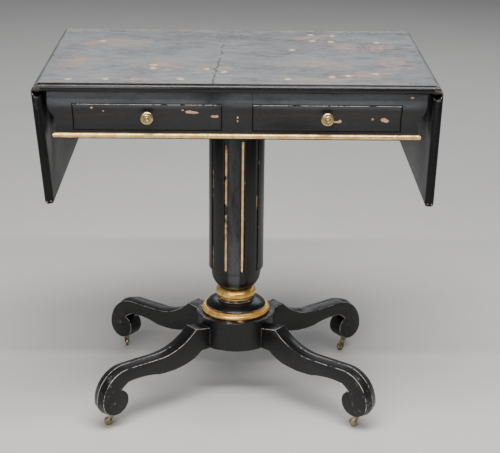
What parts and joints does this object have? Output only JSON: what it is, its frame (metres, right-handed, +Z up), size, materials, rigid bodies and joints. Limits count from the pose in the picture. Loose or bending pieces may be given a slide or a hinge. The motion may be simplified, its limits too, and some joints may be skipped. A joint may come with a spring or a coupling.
{
  "type": "drop-leaf work table",
  "caption": "Drop-leaf work table with two drawers on a fluted column, round plinth and scrolled legs with casters.",
  "frame": {"origin": "on the floor, on the axis of the column, at the middle of the table", "axes": "+Z up, +X to the right and -Y towards a person facing the drawers"},
  "size_m": [0.7629, 0.508, 0.733],
  "materials": {
    "black_lacquer": "worn glossy black lacquer over a brown wood",
    "gilt": "rubbed gold leaf over carved wood",
    "brass": "aged brass",
    "bare_wood": "plain unpolished timber",
    "iron": "dark blackened iron"
  },
  "bodies": {
    "table": {"back_panel": "black_lacquer", "base_drum": "black_lacquer", "bottom_board": "bare_wood", "caster_plates": "brass", "centre_partition": "bare_wood", "column_shaft": "black_lacquer", "drawer_runners": "bare_wood", "end_panel_left": "black_lacquer", "end_panel_right": "black_lacquer", "frame_screws": "iron", "front_bottom_rail": "black_lacquer", "front_stiles": "black_lacquer", "front_top_rail": "black_lacquer", "gilt_bead_ends": "gilt", "gilt_bead_sides": "gilt", "gilt_fillets": "gilt", "hinge_fixed_flaps": "brass", "hinge_pins": "brass", "hinge_screws_top": "iron", "leg_back_left": "black_lacquer", "leg_back_right": "black_lacquer", "leg_front_left": "black_lacquer", "leg_front_right": "black_lacquer", "lower_gilt_ring": "gilt", "plinth_disc": "black_lacquer", "spider_plate": "iron", "stay_brackets": "iron", "top_cleat": "bare_wood", "top_nosings": "black_lacquer", "top_panel": "black_lacquer", "upper_gilt_ring": "gilt"},
    "caster_back_left": {"caster_axle_back_left": "brass", "caster_fork_back_left": "brass"},
    "caster_back_right": {"caster_axle_back_right": "brass", "caster_fork_back_right": "brass"},
    "caster_front_left": {"caster_axle_front_left": "brass", "caster_fork_front_left": "brass"},
    "caster_front_right": {"caster_axle_front_right": "brass", "caster_fork_front_right": "brass"},
    "wheel_back_left": {"caster_wheel_back_left": "brass"},
    "wheel_back_right": {"caster_wheel_back_right": "brass"},
    "wheel_front_left": {"caster_wheel_front_left": "brass"},
    "wheel_front_right": {"caster_wheel_front_right": "brass"},
    "drawer_left": {"drawer_left_bottom": "bare_wood", "drawer_left_box": "bare_wood", "drawer_left_front": "black_lacquer", "drawer_left_knob": "brass"},
    "drawer_right": {"drawer_right_bottom": "bare_wood", "drawer_right_box": "bare_wood", "drawer_right_front": "black_lacquer", "drawer_right_knob": "brass"},
    "leaf_left": {"hinge_flaps_left": "brass", "hinge_screws_left": "iron", "leaf_left": "black_lacquer"},
    "leaf_right": {"hinge_flaps_right": "brass", "hinge_screws_right": "iron", "leaf_right": "black_lacquer"},
    "stay_left": {"stay_left": "iron"},
    "stay_right": {"stay_right": "iron"}
  },
  "joints": [
    {"name": "leaf_left_hinge", "type": "hinge", "parent": "table", "child": "leaf_left", "pos_m": [-0.3675, 0, 0.719], "axis": [0, 1, 0], "range_deg": [0, 94.9]},
    {"name": "stay_left_pivot", "type": "hinge", "parent": "table", "child": "stay_left", "pos_m": [-0.352, 0, 0.669], "axis": [0, 1, 0], "range_deg": [0, 121]},
    {"name": "drawer_left_slide", "type": "slide", "parent": "table", "child": "drawer_left", "axis": [0, -1, 0], "range_m": [0, 0.3]},
    {"name": "leaf_right_hinge", "type": "hinge", "parent": "table", "child": "leaf_right", "pos_m": [0.3675, 0, 0.719], "axis": [0, -1, 0], "range_deg": [0, 91.9]},
    {"name": "stay_right_pivot", "type": "hinge", "parent": "table", "child": "stay_right", "pos_m": [0.352, 0, 0.669], "axis": [0, -1, 0], "range_deg": [0, 121]},
    {"name": "drawer_right_slide", "type": "slide", "parent": "table", "child": "drawer_right", "axis": [0, -1, 0], "range_m": [0, 0.3]},
    {"name": "caster_front_left_swivel", "type": "hinge", "parent": "table", "child": "caster_front_left", "pos_m": [-0.25106, -0.19615, 0.028], "axis": [0, 0, 1], "continuous": true},
    {"name": "wheel_front_left_spin", "type": "hinge", "parent": "caster_front_left", "child": "wheel_front_left", "pos_m": [-0.26018, -0.19, 0.009], "axis": [-0.5592, -0.829, 0], "continuous": true},
    {"name": "caster_front_right_swivel", "type": "hinge", "parent": "table", "child": "caster_front_right", "pos_m": [0.25106, -0.19615, 0.028], "axis": [0, 0, 1], "continuous": true},
    {"name": "wheel_front_right_spin", "type": "hinge", "parent": "caster_front_right", "child": "wheel_front_right", "pos_m": [0.24328, -0.18837, 0.009], "axis": [-0.7071, -0.7071, 0], "continuous": true},
    {"name": "caster_back_left_swivel", "type": "hinge", "parent": "table", "child": "caster_back_left", "pos_m": [-0.25106, 0.19615, 0.028], "axis": [0, 0, 1], "continuous": true},
    {"name": "wheel_back_left_spin", "type": "hinge", "parent": "caster_back_left", "child": "wheel_back_left", "pos_m": [-0.25106, 0.20715, 0.009], "axis": [-1, 0, 0], "continuous": true},
    {"name": "caster_back_right_swivel", "type": "hinge", "parent": "table", "child": "caster_back_right", "pos_m": [0.25106, 0.19615, 0.028], "axis": [0, 0, 1], "continuous": true},
    {"name": "wheel_back_right_spin", "type": "hinge", "parent": "caster_back_right", "child": "wheel_back_right", "pos_m": [0.24263, 0.18908, 0.009], "axis": [0.6428, -0.766, 0], "continuous": true}
  ],
  "couplings": [
    {"joint": "stay_left_pivot", "follows": "leaf_left_hinge", "ratio": 1.2698},
    {"joint": "stay_right_pivot", "follows": "leaf_right_hinge", "ratio": 1.3112}
  ]
}
